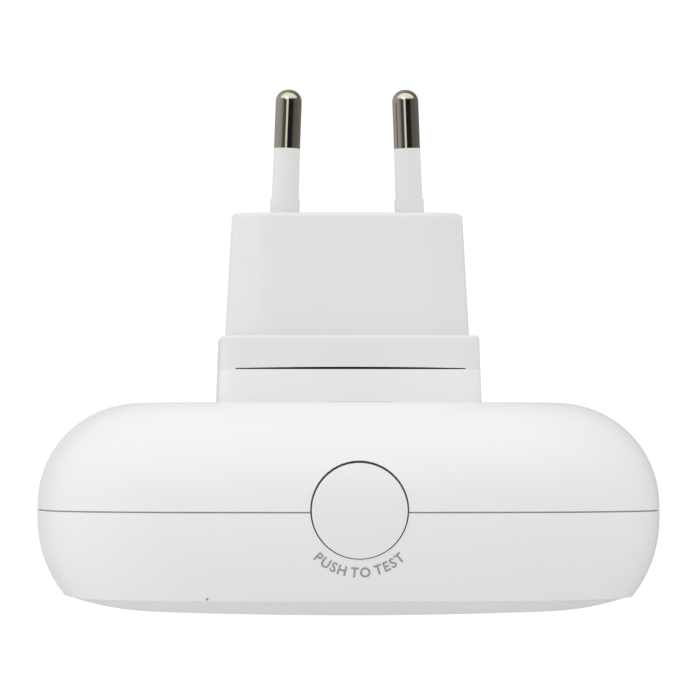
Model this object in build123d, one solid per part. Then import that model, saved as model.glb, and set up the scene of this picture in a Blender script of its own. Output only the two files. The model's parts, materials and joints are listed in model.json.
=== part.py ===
from build123d import *
import os
from math import asin, atan, cos, degrees, radians, sin, sqrt, tan

# Plug-in carbon monoxide alarm.
#
# Every piece is drawn lying on the wall side: X runs across the alarm, Y up the wall and Z
# out into the room, measured from the plug's face between the pins. export() then stands it
# up, so that in the finished part +Z is up, +Y points at the wall and the room is at -Y.
# "Depth" is a distance from the plug's face towards the room. All sizes are in millimetres.

# ---- overall sizes ----
BODY_WIDTH = 94.4            # across the flats of the body, both ways
SIDE_BOW_RADIUS = 145.0      # the four sides bulge on this radius
CORNER_RADIUS = 26.0
PLUG_LENGTH = 18.8           # plug's face to its flange
FLANGE_THICKNESS = 5.1
PEDESTAL_HEIGHT = 5.1        # flange to the back of the body
REAR_COVER_DEPTH = 15.9      # back of the body to the parting plane
FRONT_COVER_DEPTH = 13.0     # parting plane to the front panel's edge
BALL_RISE = 1.2              # the front panel's spherical face, over half the panel's width
WALL = 2.2
REAR_DRAFT = 2.0             # degrees, the rear cover's side walls
REAR_ROUND = 15.3            # the rear cover's outer edge
FRONT_ROUND = 18.5           # the front cover's side, in section
FRONT_STRAIGHT = 1.5         # straight part of that side, next to the parting plane
RIM_ROUND = 40.0             # the front panel's rim, in section
RIM_SLOPE = 20.0             # degrees, the panel's face at its very edge

# ---- plug ----
PLUG_WIDTH = 35.1
PLUG_HEIGHT = 13.7
PLUG_FLAT = 26.1             # the straight part of the plug's broad sides
PLUG_DRAFT = 3.2             # degrees
PLUG_CORNER = 3.0
PLUG_FACE_ROUND = 0.8
PLUG_WALL = 2.0
PIN_PITCH_AT_FACE = 19.1
PIN_PITCH_AT_TIP = 17.7
PIN_DIAMETER = 4.0
PIN_LENGTH = 19.0
PIN_METAL_LENGTH = 9.0       # bare metal, with its round end
SHANK_DIAMETER = 3.0
SLEEVE_TIP_DIAMETER = 4.0
SLEEVE_FOOT_DIAMETER = 4.2
COLLAR_DIAMETER = 4.5
COLLAR_LENGTH = 2.2
COLLAR_SEAT = 0.4            # how deep the collar sits in the plug's face
PIN_BOSS_DIAMETER = 7.0
PIN_ROOT_LENGTH = 7.0        # shank held inside the plug
SPIGOT_DIAMETER = 2.0
SPIGOT_LENGTH = 1.2
FLANGE_WIDTH = 39.0
FLANGE_HEIGHT = 27.5
FLANGE_CORNER = 2.4
FLANGE_DRAFT = 2.0           # degrees
SEAM_HEIGHT = 0.36           # the slim bowed gap over the pedestal, at its middle
SEAM_END_HEIGHT = 0.16       # and at its ends
SEAM_LENGTH = 34.6
SEAM_DEPTH = 1.0
GASKET_THICKNESS = 0.5

# ---- strips from the pins to the board ----
STRIP_THICKNESS = 0.5
STRIP_WIDTH = 4.0
STRIP_LEG_X = 6.6            # middle of the strip's long leg
STRIP_FOOT_LENGTH = 3.5

# ---- joints between the covers ----
LIP_THICKNESS = 1.0
LIP_HEIGHT = 1.2
SHADOW_GAP = 0.22            # fine groove between the covers
SHADOW_GAP_DEPTH = 0.7
PLATE_THICKNESS = 1.9        # the front cover's ledge behind the panel
FRONT_OPENING_RADIUS = 32.0
HOUSING_SCREW_INSET = 22.0   # from the body's side to each screw
POST_DIAMETER = 6.4
TUBE_WALL = 1.3
HEAD_RECESS_DEPTH = 7.0
TUBE_FLOOR = 2.0
PEG_DIAMETER = 2.6
PEG_LENGTH = 1.5
PEG_HEIGHT_UP = 18.0
PANEL_THICKNESS = 1.8

# ---- test button ----
BUTTON_DIAMETER = 13.8
BUTTON_OFFSET = 0.25         # the button's axis is this far behind the parting plane
BUTTON_PROUD = 0.25
BUTTON_TRAVEL = 0.5
BUTTON_GAP = 0.24
BUTTON_DROP = 0.11           # how far the button sits off its hole's middle, towards the room
BUTTON_FLANGE_WIDTH = 1.2
BUTTON_SKIRT = 1.2
BUTTON_POST_DIAMETER = 4.0

# ---- switch ----
SWITCH_WIDTH = 6.2
SWITCH_LENGTH = 3.6
SWITCH_HEIGHT = 4.6
SWITCH_FRAME = 0.3
PLUNGER_DIAMETER = 3.4
PLUNGER_PROUD = 1.1

# ---- board ----
BOARD_THICKNESS = 1.6
BOARD_INSET = 5.5            # from the body's side to the board's edge
BOARD_OFFSET = 2.1           # the parting plane to the back of the board
BOARD_STANDOFF_DIAMETER = 5.0
BOARD_STANDOFF_UP = 7.0
EDGE_POST_INSET = 8.6        # from the body's side to the standoffs and pegs

# ---- front panel holes, sensor, sounder and lights ----
HOLE_PITCH = 2.4
HOLE_DIAMETER = 1.2
SOUNDER_RINGS = 3
SENSOR_RINGS = 2
SENSOR_ROWS_UP = 10          # rows of the hole pattern from the middle to the sensor
SOUNDER_DIAMETER = 24.0
SOUNDER_HEIGHT = 6.6
SENSOR_DIAMETER = 13.6
SENSOR_HEIGHT = 7.2
LENS_LENGTH = 24.0
LENS_WIDTH = 6.0
LIGHTS_DOWN = 25.0
LIGHT_SPACING = 8.0
LIGHT_PIPE_DIAMETER = 3.2
LED_SIZE = 3.0
LED_HEIGHT = 1.9

# ---- fits ----
SLIDE_GAP = 0.15             # between moving pieces
SEAT_GAP = 0.1               # round a piece dropped into a seat
PRESS_GAP = 0.02             # round a piece that is pressed or moulded in
LABEL_THICKNESS = 0.12

# ---- screws ----
SCREW_DIAMETER = 2.8
SCREW_LENGTH = 9.0
SCREW_HEAD_DIAMETER = 5.5
SCREW_HEAD_HEIGHT = 2.0
PLUG_SCREW_DIAMETER = 2.2
PLUG_SCREW_LENGTH = 5.0
PLUG_SCREW_HEAD_DIAMETER = 4.2
PLUG_SCREW_HEAD_HEIGHT = 1.5
BOARD_SCREW_DIAMETER = 2.0
BOARD_SCREW_LENGTH = 5.0
BOARD_SCREW_HEAD_DIAMETER = 4.0
BOARD_SCREW_HEAD_HEIGHT = 1.4

# ---- filter, sounder and labels ----
FILTER_DIAMETER = 15.0
FILTER_THICKNESS = 0.5
SOUNDER_WALL = 1.0
SOUNDER_PORT = 6.0
DISC_DIAMETER = 20.0
DISC_THICKNESS = 0.4
GASKET_WALL = 2.0

# ---- places that follow from the sizes ----
HALF = BODY_WIDTH / 2
FLANGE_TOP = PLUG_LENGTH
PEDESTAL_TOP = FLANGE_TOP + FLANGE_THICKNESS
BACK = PEDESTAL_TOP + PEDESTAL_HEIGHT
PARTING = BACK + REAR_COVER_DEPTH
PANEL_EDGE = PARTING + FRONT_COVER_DEPTH
BOARD_BACK = PARTING + BOARD_OFFSET
BOARD_FRONT = BOARD_BACK + BOARD_THICKNESS
BUTTON_DEPTH = PARTING - BUTTON_OFFSET
PLATE_BACK = PANEL_EDGE - PLATE_THICKNESS
POST_END = BACK + HEAD_RECESS_DEPTH + TUBE_FLOOR
SCREW_SPACING = BODY_WIDTH - 2 * HOUSING_SCREW_INSET
EDGE_POST_X = HALF - EDGE_POST_INSET
HOLE_ROW = HOLE_PITCH * sqrt(3) / 2
SENSOR_UP = SENSOR_ROWS_UP * HOLE_ROW
BOARD_HALF = HALF - BOARD_INSET
PIN_LEAN = degrees(atan((PIN_PITCH_AT_FACE - PIN_PITCH_AT_TIP) / 2 / PIN_LENGTH))
PLUNGER_TOP = BOARD_HALF - 2.5
SWITCH_TOP = PLUNGER_TOP - PLUNGER_PROUD
SLACK = 1.0                  # how far a cutting tool runs past what it cuts

# The front panel's section: a ball in the middle, and a tighter arc that is tangent to the
# ball and reaches the panel's edge at RIM_SLOPE.
ROUND_LENGTH = FRONT_COVER_DEPTH - FRONT_STRAIGHT
PANEL_INSET = FRONT_ROUND - sqrt(FRONT_ROUND ** 2 - ROUND_LENGTH ** 2)
PANEL_HALF = HALF - PANEL_INSET
DOME_RADIUS = (PANEL_HALF ** 2 + BALL_RISE ** 2) / (2 * BALL_RISE)
BALL_REACH = (PANEL_HALF - RIM_ROUND * sin(radians(RIM_SLOPE))) / (1 - RIM_ROUND / DOME_RADIUS)
BALL_SLOPE = asin(BALL_REACH / DOME_RADIUS)
DOME_RISE = (DOME_RADIUS * (1 - cos(BALL_SLOPE))
             + RIM_ROUND * (cos(BALL_SLOPE) - cos(radians(RIM_SLOPE))))
APEX = PANEL_EDGE + DOME_RISE


# ---- helpers ----
def bowed_square(inset):
    """The body's outline moved in by inset: a square with bulging sides and round corners."""
    radius = SIDE_BOW_RADIUS - inset
    offset = HALF - SIDE_BOW_RADIUS
    outline = Pos(offset, 0) * Circle(radius)
    for x, y in ((-offset, 0), (0, offset), (0, -offset)):
        outline &= Pos(x, y) * Circle(radius)
    return fillet(outline.vertices(), CORNER_RADIUS - inset)


def slab(sketch, low, high):
    """A sketch extruded from one depth to another."""
    return extrude(Pos(0, 0, low) * sketch, high - low)


def disc(x, y, diameter, low, high):
    """A round bar along the depth."""
    return slab(Pos(x, y) * Circle(diameter / 2), low, high)


def block(x, y, width, height, low, high):
    """A plain block, centred on x and y."""
    return slab(Pos(x, y) * Rectangle(width, height), low, high)


def upright(x, depth, diameter, low, high):
    """A round bar that runs up the alarm, from one height to another."""
    bar = Rot(-90, 0, 0) * extrude(Circle(diameter / 2), high - low)
    return Pos(x, low, depth) * bar


def four_corners(spacing_x, spacing_y):
    """The corners of a rectangle centred on the alarm."""
    return [(sx * spacing_x / 2, sy * spacing_y / 2) for sx in (-1, 1) for sy in (-1, 1)]


def edges_at(solid, depth):
    """The edges of a solid that lie in the plane at a depth."""
    return [e for e in solid.edges() if abs(e.center().Z - depth) < 1e-4
            and e.bounding_box().size.Z < 1e-3]


def hexagon_of_points(rings, up):
    """Points of the staggered hole pattern within some rings of its middle."""
    points = []
    for row in range(-rings, rings + 1):
        count = 2 * rings + 1 - abs(row)
        for i in range(count):
            points.append(((i - (count - 1) / 2) * HOLE_PITCH, up + row * HOLE_ROW))
    return points


def screw(x, y, seat, diameter, length, head_diameter, head_height):
    """A pan-head screw, its head behind the seat and its shank running into the room."""
    head = disc(x, y, head_diameter, seat - head_height, seat)
    head = fillet(edges_at(head, seat - head_height), head_height * 0.4)
    body = head + disc(x, y, diameter, seat, seat + length)
    slot_length, slot_width = head_diameter * 0.55, head_diameter * 0.14
    for width, height in ((slot_length, slot_width), (slot_width, slot_length)):
        body -= block(x, y, width, height, seat - head_height - SLACK, seat - head_height * 0.4)
    return body


# ---- the body's outer and inner forms ----
def rear_form(inset):
    """The rear half of the body, moved in by inset."""
    depth = REAR_COVER_DEPTH - inset
    form = extrude(Pos(0, 0, PARTING) * bowed_square(inset), -depth, taper=REAR_DRAFT)
    back = form.faces().sort_by(Axis.Z)[0]
    return fillet(back.edges(), REAR_ROUND - inset)


def front_form(inset, front):
    """The front half of the body as far as a depth, moved in by inset."""
    radius = FRONT_ROUND - inset
    form = slab(bowed_square(inset), PARTING, PARTING + FRONT_STRAIGHT + radius)
    face = form.faces().sort_by(Axis.Z)[-1]
    form = fillet(face.edges(), radius)
    return form & block(0, 0, 2 * BODY_WIDTH, 2 * BODY_WIDTH, PARTING, front)


def dome_ball(lower):
    """The ball that the front panel's face is part of, lowered towards the wall."""
    return Pos(0, 0, APEX - DOME_RADIUS) * Rot(90, 0, 0) * Sphere(DOME_RADIUS - lower)


def panel_form():
    """The front panel's outer form, solid behind."""
    grow = RIM_ROUND * (1 - sin(radians(RIM_SLOPE)))
    form = slab(bowed_square(PANEL_INSET - grow), PANEL_EDGE - 2 * RIM_ROUND, APEX + SLACK)
    form &= dome_ball(0)
    rim = [e for e in form.edges() if e.center().Z > PANEL_EDGE - RIM_ROUND]
    form = fillet(rim, RIM_ROUND)
    return form & block(0, 0, 2 * BODY_WIDTH, 2 * BODY_WIDTH, PANEL_EDGE, APEX + SLACK)


# ---- covers ----
def rear_cover(screw_places):
    shell = rear_form(0) - rear_form(WALL)
    shell -= slab(bowed_square(WALL - LIP_THICKNESS - SEAT_GAP), PARTING - LIP_HEIGHT - SEAT_GAP, PARTING)
    pocket_width = FLANGE_WIDTH - 2 * WALL
    pocket_height = FLANGE_HEIGHT - 2 * WALL
    foot = Pos(0, 0, PEDESTAL_TOP) * RectangleRounded(*pedestal_size(), FLANGE_CORNER)
    shell += extrude(foot, PEDESTAL_HEIGHT + WALL / 2, taper=-FLANGE_DRAFT)
    shell -= block(0, 0, pocket_width, pocket_height, PEDESTAL_TOP + WALL, BACK + WALL + SLACK)
    recess = SCREW_HEAD_DIAMETER + 2 * 2 * SEAT_GAP
    for x, y in screw_places:
        shell += disc(x, y, recess + 2 * TUBE_WALL, BACK + WALL / 2, POST_END)
    shell = shell & (rear_form(0) + extrude(foot, PEDESTAL_HEIGHT + SLACK, taper=-FLANGE_DRAFT))
    for x, y in screw_places:
        shell -= disc(x, y, recess, BACK - SLACK, BACK + HEAD_RECESS_DEPTH)
        shell -= disc(x, y, SCREW_DIAMETER + 4 * SEAT_GAP, BACK, POST_END + SLACK)
    for x, y in plug_screw_places():
        shell -= disc(x, y, PLUG_SCREW_DIAMETER + 4 * SEAT_GAP, PEDESTAL_TOP - SLACK, BACK)
    for side in (-1, 1):
        shell -= block(side * STRIP_LEG_X, 0, STRIP_THICKNESS + 1, STRIP_WIDTH + 1,
                       PEDESTAL_TOP - SLACK, BACK)
    return shell - button_hole()


def front_cover(screw_places, edge_places):
    shell = front_form(0, PANEL_EDGE) - front_form(WALL, PLATE_BACK)
    lip = bowed_square(WALL - LIP_THICKNESS) - bowed_square(WALL)
    shell += slab(lip, PARTING - LIP_HEIGHT, PARTING + FRONT_COVER_DEPTH / 4)
    shell -= disc(0, 0, 2 * FRONT_OPENING_RADIUS, PLATE_BACK - SLACK, PANEL_EDGE + SLACK)
    for x, y in screw_places:
        shell += disc(x, y, POST_DIAMETER, POST_END, PANEL_EDGE - PLATE_THICKNESS / 2)
    for x, y in edge_places:
        shell += disc(x, y, BOARD_STANDOFF_DIAMETER, BOARD_FRONT, PANEL_EDGE - PLATE_THICKNESS / 2)
    for x, y in screw_places:
        shell -= disc(x, y, SCREW_DIAMETER + SEAT_GAP, POST_END - SLACK, POST_END + SCREW_LENGTH)
    for x, y in edge_places:
        shell -= disc(x, y, BOARD_SCREW_DIAMETER + SEAT_GAP, BOARD_FRONT - SLACK,
                      BOARD_FRONT + BOARD_SCREW_LENGTH)
    for x, y in peg_places():
        shell -= disc(x, y, PEG_DIAMETER + SEAT_GAP, PLATE_BACK - SLACK, PANEL_EDGE + SLACK)
    groove = bowed_square(-SLACK) - bowed_square(SHADOW_GAP_DEPTH)
    shell -= slab(groove, PARTING, PARTING + SHADOW_GAP)
    return shell - button_hole()


def button_hole():
    """The round hole that the button works in, across both covers."""
    return upright(0, BUTTON_DEPTH, BUTTON_DIAMETER + 2 * BUTTON_GAP,
                   HALF - BUTTON_DIAMETER / 2, HALF + 2 * SLACK)


def front_panel():
    hollow = disc(0, 0, 2 * FRONT_OPENING_RADIUS, PANEL_EDGE - SLACK, APEX) & dome_ball(PANEL_THICKNESS)
    panel = panel_form() - hollow
    for x, y in peg_places():
        panel += disc(x, y, PEG_DIAMETER, PANEL_EDGE - PEG_LENGTH, PANEL_EDGE + PLATE_THICKNESS / 4)
    holes = hexagon_of_points(SOUNDER_RINGS, 0) + hexagon_of_points(SENSOR_RINGS, SENSOR_UP)
    places = [Location((x, y, PANEL_EDGE)) for x, y in holes]
    drill = extrude(Circle(HOLE_DIAMETER / 2), DOME_RISE + SLACK)
    panel -= [place * drill for place in places]
    slot = SlotOverall(LENS_LENGTH + 2 * SEAT_GAP, LENS_WIDTH + 2 * SEAT_GAP)
    return panel - slab(Pos(0, -LIGHTS_DOWN) * slot, PANEL_EDGE, APEX + SLACK)


def indicator_lens():
    pill = Pos(0, -LIGHTS_DOWN) * SlotOverall(LENS_LENGTH, LENS_WIDTH)
    return (slab(pill, lens_back(), APEX) & dome_ball(0)).solid()


def lens_back():
    """The flat back of the indicator lens."""
    drop = DOME_RADIUS - sqrt(DOME_RADIUS ** 2 - (LIGHTS_DOWN + LENS_WIDTH / 2) ** 2)
    return APEX - drop - PANEL_THICKNESS


def light_guide():
    low = BOARD_FRONT + LED_HEIGHT + 2 * SEAT_GAP
    high = lens_back()
    bar_low = (low + high) / 2 - 0.6
    guide = block(0, -LIGHTS_DOWN, 2 * LIGHT_SPACING, LIGHT_PIPE_DIAMETER * 0.7, bar_low, bar_low + 1.2)
    for i in (-1, 0, 1):
        guide += disc(i * LIGHT_SPACING, -LIGHTS_DOWN, LIGHT_PIPE_DIAMETER, low, high)
    return guide


def dust_filter():
    patch = disc(0, SENSOR_UP, FILTER_DIAMETER, PANEL_EDGE - SLACK, APEX)
    return patch & dome_ball(PANEL_THICKNESS) - dome_ball(PANEL_THICKNESS + FILTER_THICKNESS)


def label(x, y, width, height):
    """A thin blank sticker on the back of the body."""
    return slab(Pos(x, y) * RectangleRounded(width, height, 1.0), BACK - LABEL_THICKNESS, BACK)


# ---- plug ----
def pedestal_size():
    """Width and height of the pedestal where it meets the flange."""
    grow = 2 * FLANGE_THICKNESS * tan(radians(FLANGE_DRAFT))
    return FLANGE_WIDTH + grow, FLANGE_HEIGHT + grow


def plug_outline(inset):
    """The plug's long eight-sided outline, moved in by inset."""
    end = (PLUG_WIDTH - PLUG_FLAT) / 2
    width, height = PLUG_WIDTH / 2 - inset, PLUG_HEIGHT / 2 - inset
    cut = end - inset * (2 - sqrt(2))
    points = []
    for sx, sy in ((1, 1), (-1, 1), (-1, -1), (1, -1)):
        pair = [(sx * width, sy * (height - cut)), (sx * (width - cut), sy * height)]
        points += pair if sx * sy > 0 else pair[::-1]
    outline = make_face(Polyline(*points, close=True))
    return fillet(outline.vertices(), max(PLUG_CORNER - inset, 0.5))


def plug_screw_places():
    """The four screws that hold the plug on the pedestal, in the corners of its flange."""
    inset = 2 * WALL
    return four_corners(FLANGE_WIDTH - 2 * inset, FLANGE_HEIGHT - 2 * inset)


def plug_body():
    body = extrude(plug_outline(0), PLUG_LENGTH, taper=-PLUG_DRAFT)
    body = fillet(edges_at(body, 0), PLUG_FACE_ROUND)
    flange = Pos(0, 0, FLANGE_TOP) * RectangleRounded(FLANGE_WIDTH, FLANGE_HEIGHT, FLANGE_CORNER)
    flange = extrude(flange, FLANGE_THICKNESS, taper=-FLANGE_DRAFT)
    body += chamfer(edges_at(flange, FLANGE_TOP), 0.4)
    body -= extrude(Pos(0, 0, PLUG_WALL) * plug_outline(PLUG_WALL), PEDESTAL_TOP, taper=-PLUG_DRAFT)
    for side in (-1, 1):
        boss = disc(0, 0, PIN_BOSS_DIAMETER, PLUG_WALL / 2, PIN_ROOT_LENGTH)
        bore = disc(0, 0, SHANK_DIAMETER + 2 * PRESS_GAP, -2 * SLACK, PIN_ROOT_LENGTH + SLACK)
        seat = disc(0, 0, COLLAR_DIAMETER + 2 * SLIDE_GAP, -2 * SLACK, COLLAR_SEAT)
        body += pin_place(side) * boss
        body -= pin_place(side) * (bore + seat)
        body -= pin_place(side) * disc(0, 0, 2 * PIN_BOSS_DIAMETER, PIN_ROOT_LENGTH, PIN_ROOT_LENGTH + 1)
    for x, y in plug_screw_places():
        body -= disc(x, y, PLUG_SCREW_DIAMETER + SEAT_GAP, PEDESTAL_TOP - PLUG_SCREW_LENGTH + WALL - 0.5,
                     PEDESTAL_TOP + SLACK)
    body -= slab(gasket_ring(SEAT_GAP), PEDESTAL_TOP - GASKET_THICKNESS, PEDESTAL_TOP + SLACK)
    return body - seam_gap()


def gasket_ring(gap):
    """The outline of the seal between flange and pedestal, grown by a gap."""
    outer_x = FLANGE_WIDTH - 2 * SEAM_DEPTH + 2 * gap
    outer_y = FLANGE_HEIGHT - 2 * SEAM_DEPTH + 2 * gap
    inner = GASKET_WALL + 2 * gap
    ring = RectangleRounded(outer_x, outer_y, FLANGE_CORNER / 2)
    return ring - Rectangle(outer_x - 2 * inner, outer_y - 2 * inner)


def plug_gasket():
    return slab(gasket_ring(0), PEDESTAL_TOP - GASKET_THICKNESS, PEDESTAL_TOP)


def seam_gap():
    """The two slim gaps where the broad sides of the flange bow off the pedestal."""
    bow = SEAM_HEIGHT - SEAM_END_HEIGHT
    radius = (SEAM_LENGTH ** 2 / 4 + bow ** 2) / (2 * bow)
    reach = 2 * SEAM_DEPTH + SLACK
    gaps = []
    for side in (-1, 1):
        wheel = Pos(0, side * FLANGE_HEIGHT / 2, PEDESTAL_TOP - SEAM_HEIGHT + radius)
        wheel = wheel * Rot(90, 0, 0) * Cylinder(radius, reach)
        gaps.append(wheel & block(0, side * FLANGE_HEIGHT / 2, SEAM_LENGTH, reach,
                                  PEDESTAL_TOP - SLACK, PEDESTAL_TOP + SLACK))
    return gaps


def pin_place(side):
    """Where a pin's axis crosses the plug's face, with the lean towards the other pin."""
    return Pos(side * PIN_PITCH_AT_FACE / 2, 0, 0) * Rot(0, side * PIN_LEAN, 0)


def pin(side):
    """A pin along its own axis: round tip, bare metal, sleeved shank, root and spigot."""
    radius = PIN_DIAMETER / 2
    metal = disc(0, 0, PIN_DIAMETER, -PIN_LENGTH, PIN_METAL_LENGTH - PIN_LENGTH)
    metal = fillet(edges_at(metal, -PIN_LENGTH), radius * 0.92)
    shank = disc(0, 0, SHANK_DIAMETER, PIN_METAL_LENGTH - PIN_LENGTH, PIN_ROOT_LENGTH)
    spigot = disc(0, 0, SPIGOT_DIAMETER, PIN_ROOT_LENGTH, PIN_ROOT_LENGTH + SPIGOT_LENGTH)
    return pin_place(side) * (metal + shank + spigot)


def pin_sleeve(side):
    """The soft sleeve over a pin's shank, thicker at its foot."""
    top = PIN_METAL_LENGTH - PIN_LENGTH
    tube = Pos(0, 0, top / 2) * Rot(180, 0, 0) * Cone(SLEEVE_FOOT_DIAMETER / 2, SLEEVE_TIP_DIAMETER / 2, -top)
    tube += disc(0, 0, COLLAR_DIAMETER, -COLLAR_LENGTH, COLLAR_SEAT)
    tube -= disc(0, 0, SHANK_DIAMETER + 2 * PRESS_GAP, top - SLACK, SLACK)
    return pin_place(side) * tube


def contact_strip(side):
    """A bent strip: tab on the pin's spigot, long leg to the board, foot on the board."""
    spigot_x = pin_root_x()
    tab_low = PIN_ROOT_LENGTH + 3 * SEAT_GAP
    inner = STRIP_LEG_X - STRIP_THICKNESS / 2
    tab_end = spigot_x + SPIGOT_DIAMETER
    tab = block((inner + tab_end) / 2, 0, tab_end - inner, STRIP_WIDTH, tab_low, tab_low + STRIP_THICKNESS)
    leg = block(STRIP_LEG_X, 0, STRIP_THICKNESS, STRIP_WIDTH, tab_low, BOARD_BACK)
    foot_x = inner + STRIP_FOOT_LENGTH / 2
    foot = block(foot_x, 0, STRIP_FOOT_LENGTH, STRIP_WIDTH, BOARD_BACK - STRIP_THICKNESS, BOARD_BACK)
    strip = tab + leg + foot
    strip -= disc(spigot_x, 0, SPIGOT_DIAMETER + 3 * SEAT_GAP, tab_low - SLACK, tab_low + SLACK)
    return strip if side > 0 else mirror(strip, Plane.YZ)


def pin_root_x():
    """How far from the middle a pin's spigot is."""
    return PIN_PITCH_AT_FACE / 2 + PIN_ROOT_LENGTH * tan(radians(PIN_LEAN))


def peg_places():
    """The front panel's pegs, on the ledge at both sides."""
    return four_corners(2 * EDGE_POST_X, 2 * PEG_HEIGHT_UP)


# ---- test button and switch ----
def test_button():
    face_low = HALF - 2 * WALL - BUTTON_FLANGE_WIDTH
    axis = BUTTON_DEPTH + BUTTON_DROP
    bar = upright(0, axis, BUTTON_DIAMETER, face_low, HALF + SLACK)
    outer = Pos(0, BUTTON_PROUD, 0) * (rear_form(0) + front_form(0, PANEL_EDGE))
    inner = Pos(0, -SLIDE_GAP, 0) * (rear_form(WALL) + front_form(WALL, PLATE_BACK))
    flange_diameter = BUTTON_DIAMETER + 2 * BUTTON_GAP + 2 * BUTTON_FLANGE_WIDTH
    flange = upright(0, axis, flange_diameter, face_low, HALF + SLACK) & inner
    button = (bar & outer) + flange
    hollow = BUTTON_DIAMETER - 2 * BUTTON_SKIRT
    button -= upright(0, axis, hollow, face_low - SLACK, HALF - WALL)
    button += upright(0, axis, BUTTON_POST_DIAMETER, PLUNGER_TOP + SEAT_GAP, HALF - WALL / 2)
    return button.solid()


def switch_depth():
    """Depth of the switch's axis."""
    return BOARD_BACK - SWITCH_HEIGHT / 2


def switch_block(width, length, height, top):
    """A block of the switch, standing on the board with its top end at a height."""
    return block(0, top - length / 2, width, length, BOARD_BACK - height, BOARD_BACK)


def switch_body():
    top = SWITCH_TOP - SWITCH_FRAME
    body = switch_block(SWITCH_WIDTH, SWITCH_LENGTH, SWITCH_HEIGHT, top)
    bore = PLUNGER_DIAMETER + 2 * SLIDE_GAP
    return body - upright(0, switch_depth(), bore, top - SWITCH_LENGTH * 0.8, top + SLACK)


def switch_frame():
    outer = SWITCH_WIDTH + 2 * SWITCH_FRAME
    length = SWITCH_LENGTH * 0.8
    frame = switch_block(outer, length, SWITCH_HEIGHT, SWITCH_TOP)
    frame -= switch_block(SWITCH_WIDTH, length + SLACK, SWITCH_HEIGHT, SWITCH_TOP - SWITCH_FRAME)
    bore = PLUNGER_DIAMETER + 2 * SLIDE_GAP
    return frame - upright(0, switch_depth(), bore, SWITCH_TOP - 2 * SLACK, SWITCH_TOP + SLACK)


def switch_plunger():
    low = SWITCH_TOP - SWITCH_FRAME - SWITCH_LENGTH * 0.8 + BUTTON_TRAVEL + SLIDE_GAP
    bar = upright(0, switch_depth(), PLUNGER_DIAMETER, low, PLUNGER_TOP)
    top = bar.faces().sort_by(Axis.Y)[-1]
    return fillet(top.edges(), 0.2)


# ---- board and what stands on it ----
def main_board(screw_places, edge_places):
    outline = bowed_square(BOARD_INSET)
    board = slab(outline, BOARD_BACK, BOARD_FRONT)
    notch = BUTTON_DIAMETER + 2 * BUTTON_GAP + 2 * BUTTON_FLANGE_WIDTH + 4 * SLIDE_GAP
    notch_low = HALF - 2 * WALL - BUTTON_FLANGE_WIDTH - BUTTON_TRAVEL - 2 * SLIDE_GAP
    board -= block(0, notch_low + HALF / 2, notch, HALF, BOARD_BACK - SLACK, BOARD_FRONT + SLACK)
    for x, y in screw_places:
        board -= disc(x, y, POST_DIAMETER + 4 * SEAT_GAP, BOARD_BACK - SLACK, BOARD_FRONT + SLACK)
    for x, y in edge_places:
        board -= disc(x, y, BOARD_SCREW_DIAMETER + 2 * SEAT_GAP, BOARD_BACK - SLACK, BOARD_FRONT + SLACK)
    return board


def on_back(x, y, width, height, tall, corner=0.0):
    """A block standing on the side of the board that faces the wall."""
    outline = Rectangle(width, height) if corner == 0 else RectangleRounded(width, height, corner)
    return slab(Pos(x, y) * outline, BOARD_BACK - tall, BOARD_BACK)


def can(x, y, diameter, tall, groove):
    """An electrolytic can on the back of the board, with its crimp groove."""
    body = disc(x, y, diameter, BOARD_BACK - tall, BOARD_BACK)
    body = fillet(body.edges(), diameter * 0.06)
    ring = disc(x, y, diameter + SLACK, BOARD_BACK - groove - 0.6, BOARD_BACK - groove)
    return body - (ring - disc(x, y, diameter - 0.8, BOARD_BACK - groove - 0.6, BOARD_BACK - groove))


TRANSFORMER_X, TRANSFORMER_Y = -0.43 * BOARD_HALF, -0.36 * BOARD_HALF
CORE_WIDTH, CORE_THICKNESS, CORE_TALL, CORE_LIMB = 16.0, 5.0, 13.0, 3.0
BOBBIN_WALL = 0.8


def transformer_core():
    core = on_back(TRANSFORMER_X, TRANSFORMER_Y, CORE_WIDTH, CORE_THICKNESS, CORE_TALL)
    window = (CORE_WIDTH - 2 * CORE_LIMB - CORE_THICKNESS) / 2
    for side in (-1, 1):
        x = TRANSFORMER_X + side * (CORE_THICKNESS + window) / 2
        core -= block(x, TRANSFORMER_Y, window, 2 * CORE_THICKNESS,
                      BOARD_BACK - CORE_TALL + CORE_LIMB, BOARD_BACK - CORE_LIMB)
    return core


def transformer_bobbin():
    """A spool round the core's middle limb."""
    low, high = BOARD_BACK - CORE_TALL + CORE_LIMB + SEAT_GAP, BOARD_BACK - CORE_LIMB - SEAT_GAP
    inner = CORE_THICKNESS + 2 * SEAT_GAP
    outer = CORE_WIDTH - 2 * CORE_LIMB - 2 * SEAT_GAP
    bobbin = block(TRANSFORMER_X, TRANSFORMER_Y, outer, outer, low, low + BOBBIN_WALL)
    bobbin += block(TRANSFORMER_X, TRANSFORMER_Y, outer, outer, high - BOBBIN_WALL, high)
    tube = inner + 2 * BOBBIN_WALL
    bobbin += block(TRANSFORMER_X, TRANSFORMER_Y, tube, tube, low, high)
    return bobbin - block(TRANSFORMER_X, TRANSFORMER_Y, inner, inner, low - SLACK, high + SLACK)


def transformer_winding():
    low = BOARD_BACK - CORE_TALL + CORE_LIMB + SEAT_GAP + BOBBIN_WALL
    high = BOARD_BACK - CORE_LIMB - SEAT_GAP - BOBBIN_WALL
    outer = CORE_WIDTH - 2 * CORE_LIMB - 8 * SEAT_GAP
    inner = CORE_THICKNESS + 2 * SEAT_GAP + 2 * BOBBIN_WALL
    ring = RectangleRounded(outer, outer, 1.0) - Rectangle(inner, inner)
    return slab(Pos(TRANSFORMER_X, TRANSFORMER_Y) * ring, low, high)


def bulk_capacitor():
    return can(-0.06 * BOARD_HALF, -0.42 * BOARD_HALF, 10.0, 13.5, 2.5)


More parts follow.
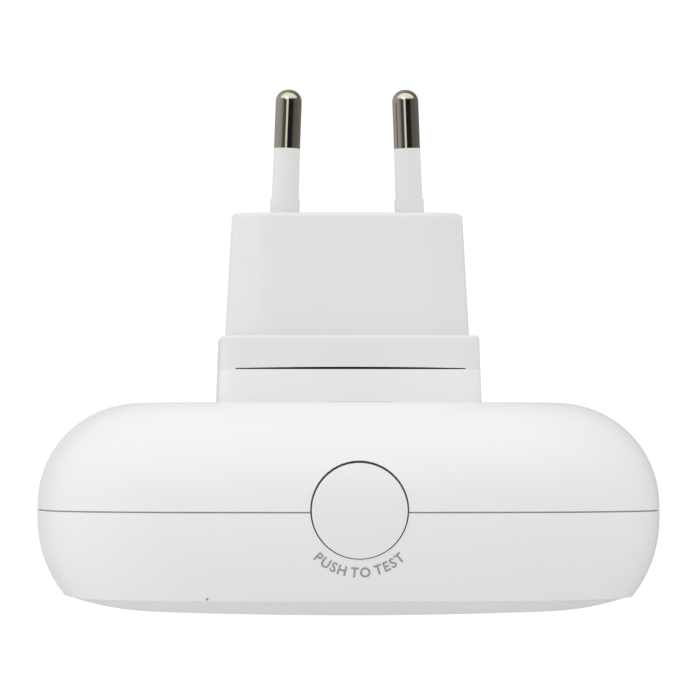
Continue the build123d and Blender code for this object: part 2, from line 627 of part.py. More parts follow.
def output_capacitor():
    return can(0.2 * BOARD_HALF, -0.42 * BOARD_HALF, 8.0, 11.0, 2.2)


def safety_capacitor():
    body = on_back(0.52 * BOARD_HALF, -0.36 * BOARD_HALF, 12.5, 6.0, 11.0)
    return fillet(edges_at(body, BOARD_BACK - 11.0), 0.6)


def filter_inductor():
    x, y = -0.3 * BOARD_HALF, -0.76 * BOARD_HALF
    flanges = disc(x, y, 8.0, BOARD_BACK - 9.0, BOARD_BACK - 7.8) + disc(x, y, 8.0, BOARD_BACK - 1.2, BOARD_BACK)
    return flanges + disc(x, y, 6.6, BOARD_BACK - 8.0, BOARD_BACK - 1.0)


def fuse():
    body = disc(0.46 * BOARD_HALF, 0.12 * BOARD_HALF, 8.0, BOARD_BACK - 8.0, BOARD_BACK)
    return fillet(edges_at(body, BOARD_BACK - 8.0), 0.5)


def surge_varistor():
    """A lacquered disc standing on its edge."""
    radius = 4.5
    wheel = Rot(0, 90, 0) * Cylinder(radius, 3.6)
    wheel = fillet(wheel.edges(), 1.0)
    return Pos(0.7 * BOARD_HALF, 0.16 * BOARD_HALF, BOARD_BACK - radius) * wheel


def bridge_rectifier():
    return on_back(0.3 * BOARD_HALF, 0.48 * BOARD_HALF, 8.2, 6.4, 2.8, 0.4)


def converter_chip():
    return on_back(-0.48 * BOARD_HALF, 0.26 * BOARD_HALF, 9.4, 6.4, 3.4, 0.3)


def controller_chip():
    """A square microcontroller with legs on four sides."""
    x, y, size, tall, pitch = -0.3 * BOARD_HALF, 0.6 * BOARD_HALF, 7.0, 1.4, 0.8
    chip = on_back(x, y, size, size, tall) - on_back(x, y, size, size, 0.15)
    for i in range(8):
        along = (i - 3.5) * pitch
        for dx, dy, w, h in ((0, along, size + 2, 0.35), (along, 0, 0.35, size + 2)):
            chip += block(x + dx, y + dy, w, h, BOARD_BACK - 0.35, BOARD_BACK)
    return chip


def small_parts():
    """Resistors and capacitors in rows beside the controller and the converter."""
    parts = []
    for i in range(6):
        parts.append(on_back((0.06 + 0.06 * i) * BOARD_HALF, 0.7 * BOARD_HALF, 1.3, 2.0, 0.6))
        parts.append(on_back((-0.62 + 0.06 * i) * BOARD_HALF, 0.08 * BOARD_HALF, 1.3, 2.0, 0.6))
    return Compound(children=parts)


def led(i):
    """A surface-mount lamp on the front of the board, under its light pipe."""
    x = i * LIGHT_SPACING
    lamp = block(x, -LIGHTS_DOWN, LED_SIZE, LED_SIZE, BOARD_FRONT, BOARD_FRONT + LED_HEIGHT)
    return lamp - disc(x, -LIGHTS_DOWN, LED_SIZE * 0.7, BOARD_FRONT + LED_HEIGHT - 0.4, BOARD_FRONT + LED_HEIGHT)


def sounder_housing():
    high = BOARD_FRONT + SOUNDER_HEIGHT
    body = disc(0, 0, SOUNDER_DIAMETER, BOARD_FRONT, high)
    body = fillet(edges_at(body, high), 0.6)
    body -= disc(0, 0, SOUNDER_DIAMETER - 2 * SOUNDER_WALL, BOARD_FRONT + SOUNDER_WALL, high - SOUNDER_WALL)
    body += disc(0, 0, SOUNDER_DIAMETER - SOUNDER_WALL, BOARD_FRONT + SOUNDER_WALL / 2, disc_seat())
    body -= disc(0, 0, DISC_DIAMETER - 2 * SOUNDER_WALL, BOARD_FRONT + SOUNDER_WALL, disc_seat() + SLACK)
    return body - disc(0, 0, SOUNDER_PORT, high - 2 * SOUNDER_WALL, high + SLACK)


def disc_seat():
    """The shelf inside the sounder that its disc lies on."""
    return BOARD_FRONT + SOUNDER_HEIGHT / 2


def piezo_disc():
    plate = disc(0, 0, DISC_DIAMETER, disc_seat(), disc_seat() + DISC_THICKNESS)
    return plate + disc(0, 0, DISC_DIAMETER * 0.7, disc_seat(), disc_seat() + 1.5 * DISC_THICKNESS)


def sounder_gasket():
    """A foam ring that leads the sound from the sounder to the panel's holes."""
    inner = 2 * (SOUNDER_RINGS * HOLE_PITCH + HOLE_DIAMETER)
    low = BOARD_FRONT + SOUNDER_HEIGHT
    ring = disc(0, 0, inner + 2 * GASKET_WALL, low, APEX) - disc(0, 0, inner, low - SLACK, APEX + SLACK)
    return ring & dome_ball(PANEL_THICKNESS)


def sensor_cell():
    high = BOARD_FRONT + SENSOR_HEIGHT
    cell = disc(0, SENSOR_UP, SENSOR_DIAMETER, BOARD_FRONT, high)
    return fillet(edges_at(cell, high), 0.5)


def sensor_cap():
    """A drawn metal cap over the cell, with a ring of gas holes."""
    high = BOARD_FRONT + SENSOR_HEIGHT + SEAT_GAP
    outer = SENSOR_DIAMETER + 2 * SEAT_GAP + 2 * SWITCH_FRAME
    cap = disc(0, SENSOR_UP, outer, BOARD_FRONT, high + SWITCH_FRAME)
    cap = fillet(edges_at(cap, high + SWITCH_FRAME), 0.5)
    cap -= disc(0, SENSOR_UP, SENSOR_DIAMETER + 2 * SEAT_GAP, BOARD_FRONT - SLACK, high)
    ring = PolarLocations(SENSOR_DIAMETER / 4, 6)
    return cap - [Pos(0, SENSOR_UP, high - SLACK) * place * extrude(Circle(0.8), 2 * SLACK) for place in ring]


# ---- the finished pieces ----
def stand_up(shape):
    """Turn a piece from its drawing position to its place on the wall."""
    return Rot(90, 0, 0) * shape


def main():
    screw_places = four_corners(SCREW_SPACING, SCREW_SPACING)
    edge_places = four_corners(2 * EDGE_POST_X, 2 * BOARD_STANDOFF_UP)
    head = BACK + HEAD_RECESS_DEPTH
    housing_screws = [screw(x, y, head, SCREW_DIAMETER, SCREW_LENGTH, SCREW_HEAD_DIAMETER,
                            SCREW_HEAD_HEIGHT) for x, y in screw_places]
    board_screws = [screw(x, y, BOARD_BACK, BOARD_SCREW_DIAMETER, BOARD_SCREW_LENGTH,
                          BOARD_SCREW_HEAD_DIAMETER, BOARD_SCREW_HEAD_HEIGHT) for x, y in edge_places]
    plug_screws = [Rot(180, 0, 0) * screw(x, -y, -PEDESTAL_TOP - WALL, PLUG_SCREW_DIAMETER,
                   PLUG_SCREW_LENGTH, PLUG_SCREW_HEAD_DIAMETER, PLUG_SCREW_HEAD_HEIGHT)
                   for x, y in plug_screw_places()]
    pieces = {
        "rear_cover": rear_cover(screw_places),
        "front_cover": front_cover(screw_places, edge_places),
        "front_panel": front_panel(),
        "indicator_lens": indicator_lens(),
        "light_guide": light_guide(),
        "dust_filter": dust_filter(),
        "rating_label": label(0, -FLANGE_HEIGHT / 2 - 9.5, 34.0, 12.0),
        "inspection_sticker": label(1.2, FLANGE_HEIGHT / 2 + 8.0, 9.4, 6.0),
        "housing_screws": Compound(children=housing_screws),
        "plug_body": plug_body(),
        "plug_gasket": plug_gasket(),
        "plug_screws": Compound(children=plug_screws),
        "live_pin": pin(1),
        "neutral_pin": pin(-1),
        "live_pin_sleeve": pin_sleeve(1),
        "neutral_pin_sleeve": pin_sleeve(-1),
        "live_contact_strip": contact_strip(1),
        "neutral_contact_strip": contact_strip(-1),
        "test_button": test_button(),
        "switch_body": switch_body(),
        "switch_frame": switch_frame(),
        "switch_plunger": switch_plunger(),
        "main_board": main_board(screw_places, edge_places),
        "board_screws": Compound(children=board_screws),
        "transformer_core": transformer_core(),
        "transformer_bobbin": transformer_bobbin(),
        "transformer_winding": transformer_winding(),
        "bulk_capacitor": bulk_capacitor(),
        "output_capacitor": output_capacitor(),
        "safety_capacitor": safety_capacitor(),
        "filter_inductor": filter_inductor(),
        "fuse": fuse(),
        "surge_varistor": surge_varistor(),
        "bridge_rectifier": bridge_rectifier(),
        "converter_chip": converter_chip(),
        "controller_chip": controller_chip(),
        "small_parts": small_parts(),
        "power_led": led(-1),
        "fault_led": led(0),
        "alarm_led": led(1),
        "sounder_housing": sounder_housing(),
        "piezo_disc": piezo_disc(),
        "sounder_gasket": sounder_gasket(),
        "sensor_cell": sensor_cell(),
        "sensor_cap": sensor_cap(),
    }
    os.makedirs("parts", exist_ok=True)
    for name, shape in pieces.items():
        export_step(stand_up(shape), f"parts/{name}.step")


main()
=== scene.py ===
import json
from math import cos, pi, radians, sin, sqrt

import bmesh
import bpy
from mathutils import Matrix, Vector
from mathutils.bvhtree import BVHTree
from mathutils.geometry import delaunay_2d_cdt


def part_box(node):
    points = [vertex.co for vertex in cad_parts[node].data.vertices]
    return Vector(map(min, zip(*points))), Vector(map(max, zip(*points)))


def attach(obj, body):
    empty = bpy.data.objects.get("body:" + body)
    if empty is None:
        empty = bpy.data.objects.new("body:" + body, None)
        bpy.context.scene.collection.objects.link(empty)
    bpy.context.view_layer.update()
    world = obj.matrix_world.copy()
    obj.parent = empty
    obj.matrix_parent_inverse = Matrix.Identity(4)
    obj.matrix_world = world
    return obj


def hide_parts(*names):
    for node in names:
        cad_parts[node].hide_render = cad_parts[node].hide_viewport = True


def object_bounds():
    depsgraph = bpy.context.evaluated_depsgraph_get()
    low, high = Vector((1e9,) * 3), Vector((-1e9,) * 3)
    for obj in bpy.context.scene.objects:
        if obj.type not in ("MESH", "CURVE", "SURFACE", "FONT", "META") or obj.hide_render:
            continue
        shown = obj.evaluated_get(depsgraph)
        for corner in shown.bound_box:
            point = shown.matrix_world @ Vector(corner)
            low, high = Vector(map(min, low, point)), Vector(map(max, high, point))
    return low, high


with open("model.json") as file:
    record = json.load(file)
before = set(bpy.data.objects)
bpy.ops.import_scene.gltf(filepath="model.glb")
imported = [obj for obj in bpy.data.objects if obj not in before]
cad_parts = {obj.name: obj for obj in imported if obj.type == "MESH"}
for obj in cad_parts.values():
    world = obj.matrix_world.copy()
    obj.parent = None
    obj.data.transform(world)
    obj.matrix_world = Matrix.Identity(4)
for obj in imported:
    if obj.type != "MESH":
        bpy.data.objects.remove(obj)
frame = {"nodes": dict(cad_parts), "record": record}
cad_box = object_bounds()
MM = 0.001
FAR_OUT = 100                 # millimetres; clear of the alarm on every side
NODES = frame["nodes"]
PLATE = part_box("front_panel")


# ---------------------------------------------------------------- shader maths
class Val:
    """A shader socket that can be used in Python expressions."""

    def __init__(self, graph, socket):
        self.graph, self.socket = graph, socket

    def _math(self, operation, *values):
        return self.graph.add("ShaderNodeMath", {"operation": operation}, dict(enumerate(values)))

    def __add__(self, other):
        return self._math("ADD", self, other)

    def __sub__(self, other):
        return self._math("SUBTRACT", self, other)

    def __rsub__(self, other):
        return self._math("SUBTRACT", other, self)

    def __mul__(self, other):
        return self._math("MULTIPLY", self, other)

    def __abs__(self):
        return self._math("ABSOLUTE", self)

    def ramp(self, low, high):
        """0 below low, 1 above high, smooth between; low may be above high."""
        settings = {"interpolation_type": "SMOOTHSTEP", "clamp": True}
        inputs = {"Value": self, "From Min": low, "From Max": high}
        return self.graph.add("ShaderNodeMapRange", settings, inputs)

    __radd__ = __add__
    __rmul__ = __mul__


class Graph:
    """A node tree, emptied first, with one method that adds any node."""

    def __init__(self, owner):
        owner.use_nodes = True
        self.tree = owner.node_tree
        self.tree.nodes.clear()

    def add(self, kind, settings, inputs, output=0):
        node = self.tree.nodes.new(kind)
        for key, value in settings.items():
            setattr(node, key, value)
        for key, value in inputs.items():
            if isinstance(value, Val):
                self.tree.links.new(value.socket, node.inputs[key])
            else:
                node.inputs[key].default_value = value
        return Val(self, node.outputs[output]) if node.outputs else None

    def place(self):
        """Position on the piece, in metres."""
        return self.add("ShaderNodeTexCoord", {}, {}, "Object")

    def split(self, vector):
        """The three numbers of a position or a direction."""
        first = self.add("ShaderNodeSeparateXYZ", {}, {0: vector})
        return [Val(self, socket) for socket in first.socket.node.outputs]

    def ray(self, kind):
        """1 for rays of one kind, 0 for the others."""
        return self.add("ShaderNodeLightPath", {}, {}, kind)

    def noise(self, point, scale, detail=3.0):
        inputs = {"Vector": point, "Scale": scale, "Detail": detail}
        return self.add("ShaderNodeTexNoise", {}, inputs)

    def mix(self, factor, first, second):
        settings = {"data_type": "RGBA"}
        return self.add("ShaderNodeMix", settings, {0: factor, 6: first, 7: second}, 2)

    def bump(self, height, distance):
        return self.add("ShaderNodeBump", {}, {"Height": height, "Distance": distance})


def rgba(colour, gain=1.0):
    return tuple(c * gain for c in colour) + (1.0,)


def finish_material(name, build, **constants):
    """A material whose build(graph) gives the sockets that vary; constants go on the shader."""
    material = bpy.data.materials.new(name)
    graph = Graph(material)
    shader = graph.add("ShaderNodeBsdfPrincipled", {}, {**constants, **build(graph)})
    graph.add("ShaderNodeOutputMaterial", {}, {"Surface": shader})
    return material


CLOUD_SCALE = 30.0            # noise scales are in lumps per metre
PLATING_SCALE = 120.0
MARK_SCALES = (60.0, 1500.0)  # of drawn metal, along its marks and across them
GLOSS_SPREAD = 0.12           # how uneven the gloss of plastic is
SPECK_SPREAD = 0.2
SPECK_EDGE = 0.12             # half the softness of a speck's edge
MARK_DEPTH = 0.000004
SPECK_DEPTH = 0.00003


def moulded(name, colour, roughness, grain=0.00002, scale=900.0, tone=0.03, **constants):
    """Moulded plastic or lacquer: a faint cloudiness, a fine grain and uneven gloss."""
    def build(graph):
        point = graph.place()
        cloud = graph.noise(point, CLOUD_SCALE, 2.0)
        fine = graph.noise(point, scale)
        return {"Base Color": graph.mix(cloud, rgba(colour, 1 - tone), rgba(colour, 1 + tone)),
                "Roughness": roughness + (fine - 0.5) * GLOSS_SPREAD,
                "Normal": graph.bump(fine, grain)}
    return finish_material(name, build, **constants)


def metal(name, colour, roughness, along):
    """Plated or drawn metal with fine marks along one of the piece's directions."""
    def build(graph):
        point = graph.place()
        squeeze = tuple(MARK_SCALES[i != along] for i in range(3))
        settings = {"operation": "MULTIPLY"}
        stretched = graph.add("ShaderNodeVectorMath", settings, {0: point, 1: squeeze})
        marks = graph.noise(stretched, 1.0, 2.0)
        cloud = graph.noise(point, PLATING_SCALE)
        return {"Base Color": graph.mix(cloud, rgba(colour, 0.93), rgba(colour, 1.05)),
                "Roughness": roughness + (marks - 0.5) * roughness,
                "Normal": graph.bump(marks, MARK_DEPTH)}
    return finish_material(name, build, Metallic=1.0)


def speckled(name, colour, second, roughness, scale):
    """A two-tone material: fibres, sintered grain or printed texture."""
    def build(graph):
        point = graph.place()
        spots = graph.noise(point, scale, 5.0)
        shade = spots.ramp(0.5 - SPECK_EDGE, 0.5 + SPECK_EDGE)
        return {"Base Color": graph.mix(shade, rgba(colour), rgba(second)),
                "Roughness": roughness + (spots - 0.5) * SPECK_SPREAD,
                "Normal": graph.bump(spots, SPECK_DEPTH)}
    return finish_material(name, build)


WHITE = (0.84, 0.84, 0.835)
SOFT = {"Specular IOR Level": 0.25}
MATERIALS = {
    "white_case": moulded("white_case", WHITE, 0.36, tone=0.012, **SOFT),
    "plug_white": moulded("plug_white", (0.78, 0.78, 0.775), 0.4, tone=0.012, **SOFT),
    "panel_white": moulded("panel_white", (0.77, 0.77, 0.76), 0.42, tone=0.012, **SOFT),
    "button_white": moulded("button_white", (0.82, 0.82, 0.81), 0.34, tone=0.01, **SOFT),
    "sleeve_white": moulded("sleeve_white", (0.77, 0.77, 0.765), 0.5, tone=0.02, **SOFT),
    "pin_nickel": metal("pin_nickel", (0.66, 0.62, 0.5), 0.1, 1),
    # seal_dark: partly a real seal's colour, partly painted shade: its near-black olive also
    # darkens the narrow gap between the plug's flange and its pedestal, where shade falls.
    "seal_dark": moulded("seal_dark", (0.03, 0.032, 0.012), 0.8, 0.00004),
    "lens_smoke": moulded("lens_smoke", (0.12, 0.125, 0.135), 0.12, 0.000002),
    "light_pipe": moulded("light_pipe", (0.8, 0.84, 0.86), 0.15, 0.000002),
    "filter_felt": speckled("filter_felt", (0.66, 0.66, 0.64), (0.8, 0.8, 0.78), 0.95, 2500.0),
    "foam_grey": speckled("foam_grey", (0.04, 0.04, 0.042), (0.09, 0.09, 0.095), 0.95, 2200.0),
    "label_silver": speckled("label_silver", (0.62, 0.62, 0.61), (0.66, 0.66, 0.65), 0.35, 6000.0),
    "sticker_white": speckled("sticker_white", (0.56, 0.56, 0.52), (0.6, 0.6, 0.56), 0.6, 5000.0),
    "screw_steel": metal("screw_steel", (0.6, 0.6, 0.61), 0.3, 1),
    "contact_brass": metal("contact_brass", (0.72, 0.5, 0.2), 0.28, 1),
    "board_green": speckled("board_green", (0.012, 0.09, 0.035), (0.018, 0.13, 0.05), 0.35, 500.0),
    "ferrite": speckled("ferrite", (0.015, 0.015, 0.017), (0.03, 0.03, 0.032), 0.6, 3000.0),
    "bobbin_black": moulded("bobbin_black", (0.015, 0.015, 0.015), 0.45),
    "winding_tape": speckled("winding_tape", (0.62, 0.4, 0.02), (0.7, 0.48, 0.04), 0.3, 400.0),
    "capacitor_sleeve": moulded("capacitor_sleeve", (0.01, 0.013, 0.045), 0.25),
    "capacitor_yellow": moulded("capacitor_yellow", (0.7, 0.42, 0.02), 0.4),
    "varistor_blue": moulded("varistor_blue", (0.015, 0.08, 0.3), 0.3),
    "chip_black": speckled("chip_black", (0.012, 0.012, 0.013), (0.025, 0.025, 0.027), 0.5, 4000.0),
    "sounder_black": moulded("sounder_black", (0.014, 0.014, 0.014), 0.5),
    "disc_brass": metal("disc_brass", (0.75, 0.54, 0.24), 0.3, 0),
    "cell_white": moulded("cell_white", (0.7, 0.7, 0.67), 0.5),
    "cap_steel": metal("cap_steel", (0.68, 0.68, 0.67), 0.22, 1),
    "led_green": moulded("led_green", (0.05, 0.5, 0.1), 0.3),
    "led_amber": moulded("led_amber", (0.75, 0.3, 0.02), 0.3),
    "led_red": moulded("led_red", (0.6, 0.02, 0.015), 0.3),
    "legend_ink": speckled("legend_ink", (0.27, 0.31, 0.33), (0.33, 0.37, 0.39), 0.6, 3000.0),
}
for part in frame["record"]["subparts"]:
    node = NODES[part["node"]]
    node.data.materials.clear()
    slot = "plug_white" if part["node"] == "plug_body" else part["material_slot"]
    node.data.materials.append(MATERIALS[slot])


def new_piece(name, mesh, material):
    """An object of that mesh and material, put in the scene."""
    mesh.materials.append(material)
    piece = bpy.data.objects.new(name, mesh)
    bpy.context.scene.collection.objects.link(piece)
    return piece


# ---------------------------------------------------------------- dimpled front panel
DIMPLE_PITCH = 2.4            # millimetres, the same staggered grid as the panel's holes
DIMPLE_DEPTH = 0.32
DIMPLE_RADIUS = 0.98
DIMPLE_RINGS = (0.34, 0.66, 0.98)
RING_POINTS = 10
PLAIN_RIM = 3.0
RIM_SQUARENESS = 5            # power of the rounded square that ends the dimples
BLEND = 0.8                   # how far round a point the panel's height is evened out
CLEARANCE = 1.15              # of a dimple from holes and edges, in dimple radii
CLEARANCE_POINTS = 12
CREASE = 32                   # degrees; sharper edges stay sharp
FACING = -0.5                 # faces whose normal points further to the front are skin
WELD = 0.0005 * MM


def past_rim(x, z, reach):
    """Whether a point lies outside the rounded square that reaches that far."""
    return abs(x / reach) ** RIM_SQUARENESS + abs(z / reach) ** RIM_SQUARENESS > 1


def dimple_sites(reach, on_skin):
    """Middles of the dimples: every place of the grid that is clear of holes, slot and rim."""
    row_height = DIMPLE_PITCH * sqrt(3) / 2
    sites = []
    for row in range(-int(reach / row_height), int(reach / row_height) + 1):
        for column in range(-int(reach / DIMPLE_PITCH) - 1, int(reach / DIMPLE_PITCH) + 2):
            x = (column + 0.5 * (row % 2)) * DIMPLE_PITCH
            z = row * row_height
            if past_rim(x, z, reach):
                continue
            turns = [2 * pi * k / CLEARANCE_POINTS for k in range(CLEARANCE_POINTS)]
            around = [(x + CLEARANCE * DIMPLE_RADIUS * cos(turn),
                       z + CLEARANCE * DIMPLE_RADIUS * sin(turn)) for turn in turns]
            if all(on_skin(*point) is not None for point in around + [(x, z)]):
                sites.append((x, z))
    return sites


def dimple_points(x, z):
    """One dimple: its middle and its rings, each with how deep it lies."""
    points = [(x, z, DIMPLE_DEPTH)]
    for order, radius in enumerate(DIMPLE_RINGS):
        deep = DIMPLE_DEPTH * cos(radius / DIMPLE_RADIUS * pi / 2) ** 2
        for k in range(RING_POINTS):
            turn = 2 * pi * (k + 0.5 * (order % 2)) / RING_POINTS
            points.append((x + radius * cos(turn), z + radius * sin(turn), deep))
    return points


def dimpled_panel(node):
    """The front panel with its outer skin cut anew, so that the dimples are in the mesh."""
    form = bmesh.new()
    form.from_mesh(node.data)
    form.transform(node.matrix_world)
    bmesh.ops.remove_doubles(form, verts=form.verts[:], dist=WELD)
    form.normal_update()
    skin = [f for f in form.faces if f.normal.y < FACING]
    form.verts.index_update()
    tree = BVHTree.FromPolygons([v.co.copy() for v in form.verts],
                                [[v.index for v in f.verts] for f in skin])

    def on_skin(x, z):
        hit = tree.ray_cast(Vector((x, -FAR_OUT, z)) * MM, Vector((0, 1, 0)))[0]
        return None if hit is None else hit.y

    def height(x, z):
        """The skin's depth at a point, evened out over its facets."""
        here = on_skin(x, z)
        ring = [on_skin(x + BLEND * cos(k * pi / 3), z + BLEND * sin(k * pi / 3)) for k in range(6)]
        near = [y for y in ring if y is not None]
        if here is None or len(near) < len(ring):
            return here
        return (here + sum(near)) / (1 + len(near))

    inner = set(skin)
    border = [e for e in form.edges if sum(f in inner for f in e.link_faces) == 1]
    corners = list({v for e in border for v in e.verts})
    corners.sort(key=lambda v: v.index)
    order = {v: i for i, v in enumerate(corners)}
    flat = [(v.co.x / MM, v.co.z / MM) for v in corners]
    lines = [(order[e.verts[0]], order[e.verts[1]]) for e in border]
    reach = max(x for x, _ in flat) - PLAIN_RIM
    extra = [point for site in dimple_sites(reach, on_skin) for point in dimple_points(*site)]
    step = PLAIN_RIM / 2
    count = int(reach / step) + 3
    for i in range(-count, count + 1):
        for j in range(-count, count + 1):
            x, z = i * step, j * step
            if past_rim(x, z, reach + 1) and height(x, z) is not None:
                extra.append((x, z, 0.0))
    flat += [(x, z) for x, z, _ in extra]
    cut = delaunay_2d_cdt([Vector(p) for p in flat], lines, [], 1, 1e-5)
    points, faces, origins = cut[0], cut[2], cut[3]
    bmesh.ops.delete(form, geom=skin, context="FACES")
    made = {}
    for i, point in enumerate(points):
        source = origins[i][0]
        if source < len(corners):
            made[i] = corners[source]
            continue
        x, z, deep = extra[source - len(corners)]
        made[i] = form.verts.new(Vector((x * MM, height(x, z) + deep * MM, z * MM)))
    for face in faces:
        middle = sum((points[i] for i in face), Vector((0, 0))) / len(face)
        if on_skin(*middle) is not None:
            form.faces.new([made[i] for i in face])
    bmesh.ops.recalc_face_normals(form, faces=form.faces[:])
    mesh = bpy.data.meshes.new("dimpled_panel")
    form.to_mesh(mesh)
    form.free()
    mesh.shade_smooth()
    mesh.set_sharp_from_angle(angle=radians(CREASE))
    panel = new_piece("dimpled_panel", mesh, MATERIALS["panel_white"])
    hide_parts("front_panel")
    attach(panel, "root")


dimpled_panel(NODES["front_panel"])


# ---------------------------------------------------------------- legend, and the pinhole's painted shade
def surface_of(node):
    """A search tree over a CAD node's faces, in the row frame."""
    mesh = node.data
    points = [node.matrix_world @ v.co for v in mesh.vertices]
    return BVHTree.FromPolygons(points, [tuple(p.vertices) for p in mesh.polygons])


def lay_on(tree, x, y, lift):
    """The point of the upper surface over (x, y), lifted off it along its normal."""
    hit, normal, _, _ = tree.ray_cast(Vector((x, y, FAR_OUT * MM)), Vector((0, 0, -1)))
    return hit + (normal if normal.z > 0 else -normal) * lift


def thin_piece(name, outline_mesh, place, low, high, material):
    """A flat mesh laid on a surface by place(x, y, lift), as a closed sheet between two lifts."""
    flat, faces = outline_mesh
    count = len(flat)
    points = [place(x, y, lift) for lift in (low, high) for x, y in flat]
    edges = {}
    for face in faces:
        for a, b in zip(face, face[1:] + face[:1]):
            edges[(a, b)] = edges.get((a, b), 0) + 1
    polygons = [tuple(reversed(f)) for f in faces] + [tuple(i + count for i in f) for f in faces]
    polygons += [(a, b, b + count, a + count) for a, b in edges if (b, a) not in edges]
    mesh = bpy.data.meshes.new(name)
    mesh.from_pydata(points, [], polygons)
    mesh.update()
    return new_piece(name, mesh, material)


LEGEND = "PUSH TO TEST"
LEGEND_HEIGHT = 1.42 * MM
LEGEND_RADIUS = 9.6 * MM      # from the button's axis to the foot of the letters
LEGEND_HALF_ANGLE = 44.0      # degrees
LETTER_SPACE = 1.12
WORD_SPACE = 0.5
LETTER_WEIGHT = 0.016         # how much the strokes are thickened
LEGEND_LIFTS = (-0.03 * MM, 0.05 * MM)    # the ink's underside and its face
# The pinhole is not cut: a thin disc of dark legend ink lies over it as painted shade; its lifts,
# radius and place follow.
PINHOLE_LIFTS = (-0.01 * MM, 0.012 * MM)
PINHOLE_RADIUS = 0.2 * MM
PINHOLE_POINTS = 16
PINHOLE_AT = Vector((-21.9 * MM, PLATE[1].y - 1.2 * MM))
front = surface_of(NODES["front_cover"])
button_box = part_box("test_button")
button_y = (button_box[0].y + button_box[1].y) / 2


def flat_text(text):
    """The faces of a line of text: points in metres with its foot at y = 0, and triangles."""
    curve = bpy.data.curves.new("legend_text", "FONT")
    curve.body = text
    curve.resolution_u = 3
    curve.space_character = LETTER_SPACE
    curve.space_word = WORD_SPACE
    curve.offset = LETTER_WEIGHT
    holder = bpy.data.objects.new("legend_text", curve)
    bpy.context.scene.collection.objects.link(holder)
    bpy.context.view_layer.update()
    made = holder.to_mesh()
    high = max(v.co.y for v in made.vertices)
    points = [(v.co.x / high, v.co.y / high) for v in made.vertices]
    faces = [tuple(p.vertices) for p in made.polygons]
    holder.to_mesh_clear()
    bpy.data.objects.remove(holder)
    bpy.data.curves.remove(curve)
    return merge_points(points, faces)


def merge_points(points, faces):
    """Joins points that coincide, so that shared edges are found."""
    index, kept, turned = {}, [], []
    for x, y in points:
        key = (round(x, 5), round(y, 5))
        if key not in index:
            index[key] = len(kept)
            kept.append((x, y))
        turned.append(index[key])
    joined = [tuple(turned[i] for i in face) for face in faces]
    return kept, [f for f in joined if len(set(f)) == len(f)]


text_points, text_faces = flat_text(LEGEND)
text_low = min(x for x, _ in text_points)
text_span = max(x for x, _ in text_points) - text_low


def round_button(x, y, lift):
    """Bends the line of text round the foot of the button, letter tops towards the button."""
    turn = radians(LEGEND_HALF_ANGLE) * (2 * (x - text_low) / text_span - 1)
    radius = LEGEND_RADIUS - y * LEGEND_HEIGHT
    return lay_on(front, radius * sin(turn), button_y - radius * cos(turn), lift)


legend = thin_piece("legend", (text_points, text_faces), round_button, *LEGEND_LIFTS,
                    MATERIALS["legend_ink"])
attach(legend, "root")

hole_turns = [2 * pi * i / PINHOLE_POINTS for i in range(PINHOLE_POINTS)]
hole_outline = ([(0.0, 0.0)] + [(cos(turn), sin(turn)) for turn in hole_turns],
                [(0, i + 1, (i + 1) % PINHOLE_POINTS + 1) for i in range(PINHOLE_POINTS)])


def round_hole(x, y, lift):
    """Shrinks the outline to the pinhole's size, at its place on the front cover, where a dark disc
    paints the shade inside the hole.
    """
    return lay_on(front, PINHOLE_AT.x + PINHOLE_RADIUS * x, PINHOLE_AT.y + PINHOLE_RADIUS * y, lift)


# Painted shade: a dark ink disc stands in for the shade inside the pinhole.
pinhole_shade_disc = thin_piece("pinhole_shade_disc", hole_outline, round_hole, *PINHOLE_LIFTS,
                     MATERIALS["legend_ink"])
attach(pinhole_shade_disc, "root")


# ---------------------------------------------------------------- studio
FLOOR_HALF = 1.6              # metres
FLOOR_GAP = 0.5 * MM
PAPER_SCALE = 40.0
PAPER_DARKEST = (0.97, 0.97, 0.97)
FLOOR_GLOW = 1.1              # the light that the floor gives to matt pieces
FLOOR_SEEN = 1.06             # how bright the floor is to the camera
FLOOR_MIRRORED = 0.16         # how bright shiny pieces see it, to the right
FLOOR_LEFT_GAIN = 0.3         # how much brighter it is to the left
FLOOR_TURN = 0.1              # metres from the middle at which that change ends
AMBIENT = 0.81
HORIZON = 0.2                 # how much brighter the room is towards its sides
TILT = (-0.07, 0.23)          # the room is brighter to the left and towards the wall

# What shiny pieces see: strips side by side, each with where it starts and is full.
STRIP_REACH = (0.6, 0.35)     # the strips' ends, up and down
LEFT_STRIP = (-0.2, -0.4)
FAR_LEFT = (-0.6, -0.98)
BRIGHT_STRIP = (-0.38, -0.26)
BRIGHT_END = (-0.02, -0.1)
RIGHT_STRIP = (0.5, 0.9)
LEFT_LEVEL = 0.06
FAR_LEFT_LEVEL = 0.34
RIGHT_LEVEL = 0.12
DARK_LEVEL = 0.012            # between the strips

KEY_EYE = Vector((-0.35, 0.6, 0.75))      # the lamp's place, aim and side, in metres
KEY_AIM = Vector((0, -0.03, 0))
KEY_UP = Vector((0.1, 0.2, 1))
KEY_WIDTH = 0.5
KEY_POWER = 0.5               # watts
CAMERA_EYE = Vector((-32.0, -34.5, 824.0)) * MM
CAMERA_AIM = Vector((0.45, -20.8, 0.0)) * MM
CAMERA_UP = Vector((0, 1, 0))
LENS = 277.6
SENSOR_WIDTH = 36.0
CLIP = (0.05, 10.0)           # metres


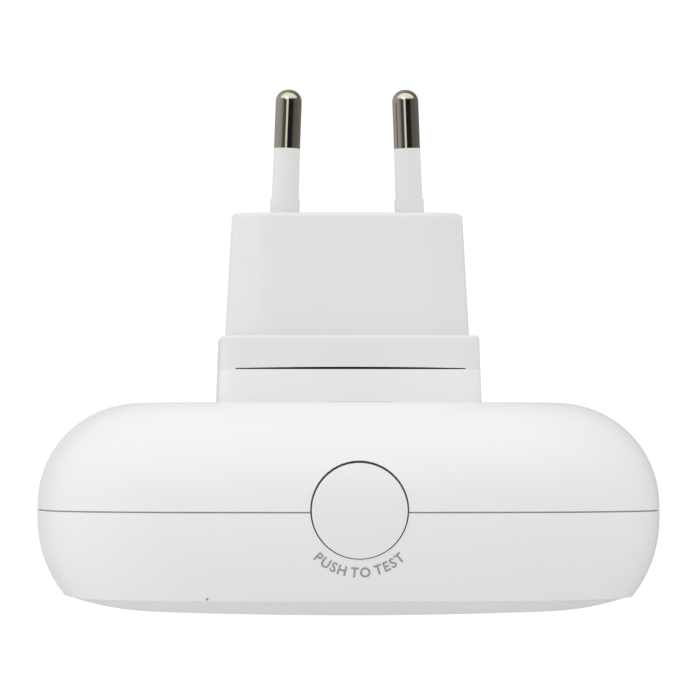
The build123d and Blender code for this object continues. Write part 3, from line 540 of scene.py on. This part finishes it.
def make_floor():
    """A pale glowing floor just under the alarm that the camera sees as plain white."""
    level = cad_box[0].z - FLOOR_GAP
    half = FLOOR_HALF
    corners = [(-half, -half, level), (half, -half, level),
               (half, half, level), (-half, half, level)]
    mesh = bpy.data.meshes.new("floor")
    mesh.from_pydata(corners, [], [(0, 1, 2, 3)])
    material = bpy.data.materials.new("floor")
    graph = Graph(material)
    seen = graph.ray("Is Camera Ray")
    glossy = graph.ray("Is Glossy Ray")
    point = graph.place()
    paper = graph.mix(graph.noise(point, PAPER_SCALE), rgba(PAPER_DARKEST), (1, 1, 1, 1))
    side = graph.split(point)[0].ramp(FLOOR_TURN, -FLOOR_TURN)
    glow = (1 - glossy) * FLOOR_GLOW + glossy * (FLOOR_MIRRORED + side * FLOOR_LEFT_GAIN)
    glow = glow * (1 - seen) + seen * FLOOR_SEEN
    light = graph.add("ShaderNodeVectorMath", {"operation": "SCALE"}, {0: paper, "Scale": glow})
    shader = graph.add("ShaderNodeEmission", {}, {"Color": light, "Strength": 1.0})
    graph.add("ShaderNodeOutputMaterial", {}, {"Surface": shader})
    floor = new_piece("floor", mesh, material)


def make_world():
    """A soft surround that brightens one way, with strips in it for shiny pieces only."""
    world = bpy.data.worlds.new("studio")
    graph = Graph(world)
    x, y, _ = graph.split(graph.add("ShaderNodeTexCoord", {}, {}, "Generated"))
    soft = x * TILT[0] + y * TILT[1] + (x * x + y * y) * HORIZON + AMBIENT
    left = x.ramp(*FAR_LEFT) * FAR_LEFT_LEVEL + LEFT_LEVEL
    bright = x.ramp(*BRIGHT_STRIP) * x.ramp(*BRIGHT_END)
    right = x.ramp(*RIGHT_STRIP) * RIGHT_LEVEL
    strips = left * x.ramp(*LEFT_STRIP) + bright + right + DARK_LEVEL
    across = abs(y).ramp(*STRIP_REACH)
    mirrored = soft * (1 - across) + strips * across
    camera = graph.ray("Is Camera Ray")
    glossy = graph.ray("Is Glossy Ray")
    light = soft * (1 - glossy) + mirrored * glossy
    light = light * (1 - camera) + camera
    back = graph.add("ShaderNodeBackground", {}, {"Color": light, "Strength": 1.0})
    graph.add("ShaderNodeOutputWorld", {}, {"Surface": back})
    bpy.context.scene.world = world


def look(eye, aim, up):
    """The placing of a camera or lamp at eye that points at aim."""
    back = (eye - aim).normalized()
    right = up.cross(back).normalized()
    turn = Matrix((right, back.cross(right), back)).transposed()
    return Matrix.Translation(eye) @ turn.to_4x4()


def make_lamp():
    """One soft lamp over the wall side, to the left."""
    data = bpy.data.lights.new("key", "AREA")
    data.size = KEY_WIDTH
    data.energy = KEY_POWER
    lamp = bpy.data.objects.new("key", data)
    bpy.context.scene.collection.objects.link(lamp)
    lamp.matrix_world = look(KEY_EYE, KEY_AIM, KEY_UP.normalized())


def make_camera():
    """A long lens high above the top edge, looking down past the plug at the wall side."""
    data = bpy.data.cameras.new("camera")
    data.lens = LENS
    data.sensor_width = SENSOR_WIDTH
    data.clip_start, data.clip_end = CLIP
    camera = bpy.data.objects.new("camera", data)
    bpy.context.scene.collection.objects.link(camera)
    camera.matrix_world = look(CAMERA_EYE, CAMERA_AIM, CAMERA_UP)
    bpy.context.scene.camera = camera


make_floor()
make_world()
make_lamp()
make_camera()
bpy.context.scene.view_settings.view_transform = "Standard"
